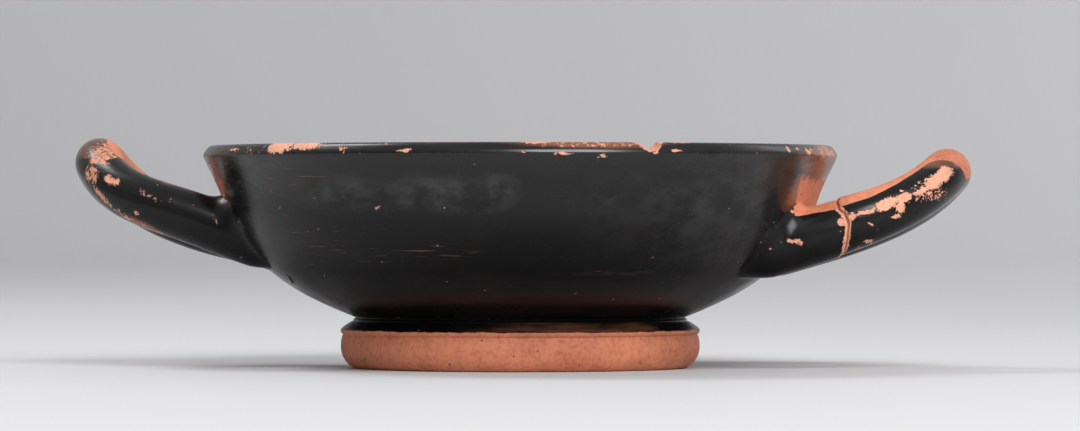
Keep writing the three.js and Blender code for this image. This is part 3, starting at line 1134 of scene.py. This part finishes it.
@dataclass(frozen=True)
class CupFinish:
    """Clay under black gloss, with painted borders, flakes, scratches and the mended break."""

    clay: Clay = Clay()
    gloss: Gloss = Gloss()
    filler: Colour = (0.30, 0.095, 0.050, 1.0)
    filler_edge: tuple[float, float] = (0.22, 0.38)
    border_wobble: float = 0.9
    border_edge: tuple[float, float] = (-0.10, 0.12)
    raggedness: float = 3.4
    flake_edge: tuple[float, float] = (0.56, 0.62)
    speck_strength: float = 0.5
    scratch_strength: float = 0.30
    flake_depth: float = 0.10
    wheel_depth: float = 0.030
    gloss_grain: float = 0.003
    clay_grain: float = 0.05

    def material(self) -> bpy.types.Material:
        """Builds the finish as one material that reads the mesh's painted numbers.

        Returns:
            The finished material.
        """
        shader = Shader("worn_black_gloss")
        medium = shader.noise(0.30, 4.0, 0.6, shift=5.0)
        lost = self.lost_gloss(shader)
        wobble = shader.math("MULTIPLY", shader.math("SUBTRACT", medium, 0.5), self.border_wobble)
        reserved = shader.step(
            shader.math("ADD", shader.painted("reserve"), wobble), *self.border_edge)
        bare, fresh = self.clay.colours(shader)
        filled = shader.math("SUBTRACT", 1.0, shader.step(
            shader.math("ABSOLUTE", shader.painted("mend")), *self.filler_edge))
        colour = shader.blend(lost, self.gloss.colour(shader), fresh)
        colour = shader.blend(reserved, colour, bare)
        colour = shader.blend(filled, colour, self.filler)
        open_clay = shader.math("MAXIMUM", reserved, shader.math("MAXIMUM", lost, filled))
        links = shader.tree.links
        links.new(colour, shader.surface.inputs["Base Color"])
        links.new(self.roughness(shader, open_clay), shader.surface.inputs["Roughness"])
        links.new(self.relief(shader, lost, open_clay), shader.surface.inputs["Normal"])
        sheen = shader.span(
            shader.upward, *self.gloss.sheen_heights, self.gloss.low_sheen, self.gloss.high_sheen)
        links.new(shader.lerp(open_clay, sheen, self.clay.sheen), shader.surface.inputs["Specular IOR Level"])
        return shader.material

    def lost_gloss(self, shader: Shader) -> Socket:
        """Where the gloss has gone: ragged flakes, stray specks and fine scratches.

        Args:
            shader: The material's tree.

        Returns:
            1 where the gloss is gone.
        """
        fine = shader.noise(1.9, 5.0, 0.75)
        coarse = shader.noise(0.8, 5.0, 0.7, shift=23.0)
        mixed = shader.math("ADD", shader.math("MULTIPLY", fine, 0.5), shader.math("MULTIPLY", coarse, 0.5))
        ragged = shader.math("MULTIPLY", shader.math("SUBTRACT", mixed, 0.5), self.raggedness)
        flaked = shader.step(shader.math("ADD", shader.painted("flake"), ragged), *self.flake_edge)
        specks = shader.math("MULTIPLY", shader.speckle(0.19, 0.24, shift=40.0), self.speck_strength)
        lines = shader.step(shader.noise(0.62, 5.0, 0.70, (0.12, 0.12, 4.2), 17.0), 0.60, 0.66)
        scratched = shader.math("MULTIPLY", shader.painted("scratch"), self.scratch_strength)
        scratches = shader.math("MULTIPLY", lines, scratched)
        return shader.math("MAXIMUM", flaked, shader.math("MAXIMUM", specks, scratches))

    def roughness(self, shader: Shader, open_clay: Socket) -> Socket:
        """Glossy with a cloudy patina on the slip, and matt on the clay.

        Args:
            shader: The material's tree.
            open_clay: 1 on clay, 0 on gloss.

        Returns:
            The surface's roughness.
        """
        patina = shader.span(shader.noise(0.11, 5.0, 0.65, (0.5, 0.5, 1.4), 9.0), 0.3, 0.7, -0.05, 0.10)
        dulled = shader.math("ADD", patina, shader.math("MULTIPLY", shader.painted("haze"), 0.10))
        glossy = shader.math("ADD", dulled, self.gloss.roughness)
        return shader.lerp(open_clay, glossy, self.clay.roughness)

    def relief(self, shader: Shader, lost: Socket, open_clay: Socket) -> Socket:
        """Wheel lines, sunk flakes and the grain of the clay, as a bumped normal.

        Args:
            shader: The material's tree.
            lost: 1 where the gloss has flaked away.
            open_clay: 1 on clay, 0 on gloss.

        Returns:
            The bumped normal.
        """
        wheel = shader.noise(0.9, 2.0, 0.5, (0.03, 0.03, 1.0), 2.0)
        grain = shader.noise(2.2, 3.0, 0.6, shift=14.0)
        height = shader.math("ADD", shader.math("MULTIPLY", lost, -self.flake_depth),
                             shader.math("MULTIPLY", wheel, self.wheel_depth))
        height = shader.math("ADD", height, shader.math(
            "MULTIPLY", grain, shader.lerp(open_clay, self.gloss_grain, self.clay_grain)))
        bump = shader.add("ShaderNodeBump", {"Strength": 1.0, "Distance": MM, "Height": height})
        return bump.outputs[0]


# ---- The cup ------------------------------------------------------------------------------


@dataclass(frozen=True)
class BareSection:
    """The part of a handle's section that was left bare, in degrees round from the loop's inside."""

    lower: float
    reaches: tuple[float, ...]
    upper: tuple[float, ...]
    tip_lobe: float = 0.0

    def depth(self, points: Points, places: HandlePlaces) -> Points:
        """Millimetres inside the bare part's border; less than 0 on the gloss.

        Args:
            points: Points in mm.
            places: Where they lie on the handle.

        Returns:
            One depth for each point.
        """
        reach = np.abs(points[:, 0])
        off_tip = 1 - smooth(np.abs(points[:, 1]), 6.0, 14.0)
        upper = np.interp(reach, self.reaches, self.upper) + self.tip_lobe * off_tip * (reach > 100)
        turn = np.where(places.turn < -110, places.turn + 360, places.turn)
        return np.radians(np.minimum(upper - turn, turn - self.lower)) * 6.5


@dataclass
class Cup:
    """The whole cup: body, handles and damage in one mesh, with its wear painted on."""

    body: TurnedBody = field(default_factory=TurnedBody)
    mended: Handle = field(default_factory=lambda: Handle(
        "mended_handle", 1, 7.1, 6.0, 30.1, 12.8, 6.4, 5.4, 0.0, dense=(79.5, 86.5)))
    whole: Handle = field(default_factory=lambda: Handle(
        "whole_handle", -1, 6.55, 6.1, 31.35, 12.85, 7.85, 7.0, 1.95))
    mend: Mend = Mend()
    mended_bare: BareSection = BareSection(
        -48.0, (66, 76, 81, 90, 96, 100, 104, 107), (126, 130, 138, 134, 118, 104, 96, 92), 100.0)
    whole_bare: BareSection = BareSection(-22.0, (66, 88, 97, 101, 104, 107), (26, 30, 40, 78, 80, 62))
    chips: tuple[RimChip, ...] = (
        RimChip(-60.4, 4.8, 2.7, 78.2, 56.6, 4, 1.7),
        RimChip(-62.0, 3.4, 0.75, 79.0, 56.2, 9, 3.0),
        RimChip(-127.7, 16.0, 0.28, 79.6, 56.0, 5, 3.0),
    )
    foot_border: float = 9.75
    foot_inner: float = 37.6
    under_reach: float = 34.8
    under_top: float = 8.5
    panel_foot: float = 27.5
    panel_top: float = 47.2
    panel_softness: float = 0.14
    border_limit: float = 8.0

    def build(self, finish: bpy.types.Material) -> bpy.types.Object:
        """Builds the cup's one closed mesh and paints its wear.

        Args:
            finish: The cup's material.

        Returns:
            The cup's object.
        """
        spin = spinning_tree()
        run = handle_tree()
        cup = self.body.spun("kylix", self.body.profile(), finish, spin)
        LOG.info("turned body: %d faces", len(cup.data.polygons))
        wall = cup.copy()
        wall.data = cup.data.copy()
        bpy.context.scene.collection.objects.link(wall)
        for handle in (self.mended, self.whole):
            bar = handle.built(wall, finish, run)
            core = self.body.spun("core", self.body.core_profile(), finish, spin)
            combine(bar, core, Joining.DIFFERENCE)
            LOG.info("%s: %d faces", handle.name, len(bar.data.polygons))
            combine(cup, bar, Joining.UNION)
        bpy.data.objects.remove(wall)
        for chip in self.chips:
            combine(cup, chip.cutter(finish), Joining.DIFFERENCE)
        self.paint_wear(cup)
        cup.data.polygons.foreach_set("use_smooth", np.ones(len(cup.data.polygons), bool))
        LOG.info("kylix: %d faces", len(cup.data.polygons))
        return cup

    def paint_wear(self, cup: bpy.types.Object) -> None:
        """Shapes the break and stores where clay, wash and scratches show.

        Args:
            cup: The cup's object, with its mesh still plain.
        """
        mesh = cup.data
        points = positions(mesh)
        mended = self.mended.locate(points)
        whole = self.whole.locate(points)
        past = self.mend.distance(points, mended)
        place_points(mesh, self.mend.reshape(points, mended))
        bearing = np.degrees(np.arctan2(points[:, 1], points[:, 0]))
        radius = np.hypot(points[:, 0], points[:, 1])
        height = points[:, 2]
        out_face = self.on_wall(radius, height)
        paint(mesh, "reserve", self.reserved(points, bearing, radius, mended, whole))
        paint(mesh, "flake", self.flaked(points, bearing, radius, past, mended, whole))
        paint(mesh, "wash", self.washed(points, bearing, radius, mended, whole))
        # Smudges, and one broad patch of painted sheen, in the same number.
        paint(mesh, "haze", strongest(WALL_HAZE_AND_SHEEN, bearing, radius, height) * out_face)
        paint(mesh, "scratch", strongest(WALL_SCRATCHES, bearing, radius, height) * out_face)
        paint(mesh, "mend", past)

    def body_radius(self, height: Points) -> Points:
        """The outside radius of the turned body at each height."""
        line = np.vstack([self.body.outside(), [[80.1, 53.7], [80.1, 56.5]]])
        return np.interp(height, line[:, 1], line[:, 0])

    def on_wall(self, radius: Points, height: Points) -> Points:
        """Whether each point lies on the outer face of the turned body, or outside it."""
        return radius > self.body_radius(height) - SKIN

    def handle_share(self, places: HandlePlaces, radius: Points, height: Points) -> Points:
        """How far a point belongs to a handle rather than to the wall, from 0 to 1."""
        out = smooth(radius - self.body_radius(height), 0.3, 1.6)
        return out * (1 - smooth(places.outside_bar, 0.8, 2.6))

    def reserved(self, points: Points, bearing: Points, radius: Points,
                 mended: HandlePlaces, whole: HandlePlaces) -> Points:
        """Millimetres inside the border of clay that was left bare; less than 0 on gloss.

        Args:
            points: Points in mm.
            bearing: Each point's bearing in degrees.
            radius: Each point's distance from the axis in mm.
            mended: Where they lie on the mended handle.
            whole: Where they lie on the whole handle.

        Returns:
            One depth for each point.
        """
        height = points[:, 2]
        limit = self.border_limit
        foot = np.minimum(self.foot_border - height, radius - self.foot_inner)
        under = np.minimum(self.under_reach - radius, self.under_top - height)
        half = np.interp(height, (38.0, 45.0), (20.0, 26.0))
        panel = self.panel_softness * np.min(
            [half - np.abs(points[:, 1]), height - self.panel_foot, self.panel_top - height], axis=0)
        panel = np.where(self.on_wall(radius, height), panel, -limit)
        best = np.max([foot, under, np.maximum(panel, -limit)], axis=0)
        for places, bare in ((mended, self.mended_bare), (whole, self.whole_bare)):
            share = self.handle_share(places, radius, height)
            best = best * (1 - share) + np.clip(bare.depth(points, places), -limit, limit) * share
        return best

    def flaked(self, points: Points, bearing: Points, radius: Points, past: Points,
               mended: HandlePlaces, whole: HandlePlaces) -> Points:
        """How far the gloss has flaked away, from 0 to 1.

        Args:
            points: Points in mm.
            bearing: Each point's bearing in degrees.
            radius: Each point's distance from the axis in mm.
            past: Millimetres past the break, along the arm.
            mended: Where they lie on the mended handle.
            whole: Where they lie on the whole handle.

        Returns:
            How far the gloss is gone.
        """
        height = points[:, 2]
        worn = strongest(RIM_FLAKES, bearing, radius, height) * (height > 51) * (radius > 76.5)
        wall = strongest(WALL_FLAKES, bearing, radius, height) * self.on_wall(radius, height)
        worn = np.maximum(worn, wall)
        for places, flakes in ((mended, MENDED_HANDLE_FLAKES), (whole, WHOLE_HANDLE_FLAKES)):
            near = smooth(np.abs(places.turn), 60, 85) * smooth(-points[:, 1], -2, 1) * (radius > 68)
            near = near * (places.outside_bar < 4)
            for flake in flakes:
                worn = np.maximum(worn, flake.on_handle(points) * near)
        for chip in self.chips:
            worn = np.maximum(worn, 1.1 * chip.field(points))
        margin = np.clip(1.55 - np.abs(past + 0.15) / 0.85, 0, 1)
        return np.maximum(worn, margin)

    def washed(self, points: Points, bearing: Points, radius: Points,
               mended: HandlePlaces, whole: HandlePlaces) -> Points:
        """How thin and brown the gloss is, from 0 to 1.

        Args:
            points: Points in mm.
            bearing: Each point's bearing in degrees.
            radius: Each point's distance from the axis in mm.
            mended: Where they lie on the mended handle.
            whole: Where they lie on the whole handle.

        Returns:
            How thin the gloss is.
        """
        height = points[:, 2]
        rim_height, rim_radius = RIM_ZONE
        off_bar = smooth(np.minimum(mended.outside_bar, whole.outside_bar), 0.5, 2.5)
        on_rim = (height > rim_height) & (radius > rim_radius)
        rim = strongest(RIM_BROWN, bearing, radius, height) * on_rim
        return np.max([
            self.panel_wash(bearing, radius, height) * off_bar,
            self.foot_wash(bearing, radius, height),
            rim,
            self.whole_handle_wash(points, whole),
        ], axis=0)

    def panel_wash(self, bearing: Points, radius: Points, height: Points) -> Points:
        """The thin streaky gloss above and beside the bare panels behind the handles.

        Args:
            bearing: Each point's bearing in degrees.
            radius: Each point's distance from the axis in mm.
            height: Each point's height in mm.

        Returns:
            How thin the gloss is, from 0 to 1.
        """
        off_axis = np.minimum(np.abs(bearing), 180 - np.abs(bearing))
        whole_side = np.abs(bearing) > 90
        strength = (0.62 + 0.38 * (1 - smooth(height, 47.0, 48.5))) * (1 - 0.28 * whole_side)
        beside = (1 - smooth(off_axis, 18.5, 26.5)) * smooth(height, 37, 43)
        return beside * strength * self.on_wall(radius, height) * (height < 55)

    def foot_wash(self, bearing: Points, radius: Points, height: Points) -> Points:
        """The brown gloss on the sloping top of the foot, strongest in front.

        Args:
            bearing: Each point's bearing in degrees.
            radius: Each point's distance from the axis in mm.
            height: Each point's height in mm.

        Returns:
            How thin the gloss is, from 0 to 1.
        """
        slope = smooth(height, 9.6, 9.9) * (1 - smooth(height, 11.6, 12.6))
        slope = slope * (radius < 48) * (radius > 38)
        return 0.52 * slope * (1 - smooth(np.abs(bearing + 66), 22, 46))

    def whole_handle_wash(self, points: Points, whole: HandlePlaces) -> Points:
        """The thin gloss on the whole handle: its tip, its lower edge and its crest; the brown along the
        lower edge is worn gloss and in part a painted reflection.

        Args:
            points: Points in mm.
            whole: Where they lie on the whole handle.

        Returns:
            How thin the gloss is, from 0 to 1.
        """
        out = -points[:, 0]
        on_handle = whole.outside_bar < 1
        tip = smooth(out, 95, 101) * smooth(points[:, 2], 52.4, 53.4)
        crest = smooth(out, 68, 74) * (1 - smooth(out, 86, 94)) * (
            1 - smooth(np.abs(whole.turn - 96), 8, 20))
        # Along the near arm's lower edge: worn thin gloss, and in part a painted reflection where the edge
        # turns away.
        lower_edge_wear_and_reflection = Patch(-91.0, 34.9, 16.0, 2.4, 0.9, -27.0).on_handle(points) * (
            np.abs(whole.turn) > 60) * (points[:, 1] < 0)
        return np.max([0.5 * tip * on_handle, 0.35 * crest * on_handle, lower_edge_wear_and_reflection], axis=0)


# ---- Studio -------------------------------------------------------------------------------


@dataclass(frozen=True)
class Lamp:
    """A soft square lamp that looks at the cup."""

    name: str
    place: tuple[float, float, float]
    size: float
    power: float
    target: tuple[float, float, float] = (0.0, 0.0, 0.03)

    def hang(self) -> None:
        """Puts the lamp in the scene."""
        data = bpy.data.lights.new(self.name, "AREA")
        data.energy = self.power
        data.size = self.size
        lamp = bpy.data.objects.new(self.name, data)
        lamp.location = self.place
        aim = Vector(self.target) - Vector(self.place)
        lamp.rotation_euler = aim.to_track_quat("-Z", "Y").to_euler()
        bpy.context.scene.collection.objects.link(lamp)


@dataclass(frozen=True)
class Studio:
    """A pale table that rises into a grey backdrop all round, soft lamps and the camera."""

    eye_distance: float = 1.392
    eye_height: float = 0.0385
    eye_bearing: float = 6.0
    eye_aside: float = 0.005
    lens: float = 183.3
    table_reach: float = 3.0
    sweep: float = 1.5
    wall_top: float = 2.85
    tone_reach: float = 2000.0
    tones: tuple[tuple[float, Colour], ...] = (
        (0.11, (0.64, 0.64, 0.65, 1.0)),
        (0.30, (0.62, 0.62, 0.625, 1.0)),
        (0.75, (0.66, 0.66, 0.67, 1.0)),
    )
    lamps: tuple[Lamp, ...] = (
        Lamp("key", (0.72, -1.50, 1.20), 1.10, 41.0),
        Lamp("side", (-0.80, 0.35, 1.20), 0.50, 7.5),
        Lamp("backdrop", (2.20, 2.00, 2.10), 1.2, 46.0, target=(0.90, 4.4, 0.50)),
    )
    room_colour: Colour = (0.98, 0.985, 1.0, 1.0)
    room_strength: float = 0.44

    def table(self) -> bpy.types.Object:
        """A round table whose edge sweeps up into a wall.

        Returns:
            The table's object, in the scene.
        """
        flat = [(r, 0.0) for r in (0.0, 0.2, 0.5, 1.0, 1.5, self.table_reach)]
        turn = np.linspace(0, math.pi / 2, 17)[1:]
        rise = [(self.table_reach + self.sweep * math.sin(a), self.sweep * (1 - math.cos(a))) for a in turn]
        section = flat + rise + [(self.table_reach + self.sweep, self.wall_top)]
        count = 128
        points = [(r * math.cos(a), r * math.sin(a), z) for r, z in section
                  for a in np.linspace(0, math.tau, count, endpoint=False)]
        faces = []
        for ring in range(len(section) - 1):
            for step in range(count):
                after = (step + 1) % count
                faces.append((ring * count + step, ring * count + after,
                              (ring + 1) * count + after, (ring + 1) * count + step))
        mesh = bpy.data.meshes.new("table")
        mesh.from_pydata(points, [], faces)
        mesh.polygons.foreach_set("use_smooth", np.ones(len(faces), bool))
        table = bpy.data.objects.new("table", mesh)
        bpy.context.scene.collection.objects.link(table)
        table.data.materials.append(self.table_finish())
        return table

    def table_finish(self) -> bpy.types.Material:
        """White paper that greys towards the backdrop.

        Returns:
            The paper's material.
        """
        shader = Shader("studio_paper")
        flat = shader.vector("MULTIPLY", shader.place, (1.0, 1.0, 0.0)).outputs[0]
        away = shader.vector("LENGTH", flat).outputs["Value"]
        ramp = shader.add("ShaderNodeValToRGB", {0: shader.span(away, 0.0, self.tone_reach, 0.0, 1.0)})
        stops = ramp.color_ramp.elements
        near, middle, far = self.tones
        stops[0].position, stops[0].color = near
        stops[1].position, stops[1].color = far
        stops.new(middle[0]).color = middle[1]
        shader.tree.links.new(ramp.outputs[0], shader.surface.inputs["Base Color"])
        shader.surface.inputs["Roughness"].default_value = 0.55
        shader.surface.inputs["Specular IOR Level"].default_value = 0.25
        return shader.material

    def light(self) -> None:
        """Hangs the lamps and sets the room's own pale light."""
        for lamp in self.lamps:
            lamp.hang()
        world = bpy.data.worlds.new("room")
        world.use_nodes = True
        background = world.node_tree.nodes["Background"]
        background.inputs["Color"].default_value = self.room_colour
        background.inputs["Strength"].default_value = self.room_strength
        bpy.context.scene.world = world

    def camera(self) -> None:
        """Sets the camera level with the middle of the cup, a long way off."""
        turn = math.radians(self.eye_bearing)
        back = Vector((math.sin(turn), -math.cos(turn), 0)) * self.eye_distance
        aside = Vector((math.cos(turn), math.sin(turn), 0)) * self.eye_aside
        data = bpy.data.cameras.new("camera")
        data.lens = self.lens
        data.sensor_width = 36.0
        data.clip_start = 0.05
        data.clip_end = 50.0
        camera = bpy.data.objects.new("camera", data)
        camera.location = back + aside + Vector((0, 0, self.eye_height))
        camera.rotation_euler = (math.pi / 2, 0, turn)
        bpy.context.scene.collection.objects.link(camera)
        bpy.context.scene.camera = camera

    def set_up(self) -> None:
        """Makes the table, the lamps and the camera."""
        self.table()
        self.light()
        self.camera()
        bpy.context.scene.view_settings.view_transform = "Standard"


def main() -> None:
    """Builds the studio and the cup, and hands the cup over to the frame."""
    logging.basicConfig(level=logging.INFO, format="%(name)s: %(message)s")
    Studio().set_up()
    cup = Cup().build(CupFinish().material())
    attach(cup, "root")
    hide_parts(CUP_NODE)


if __name__ == "__main__":
    main()
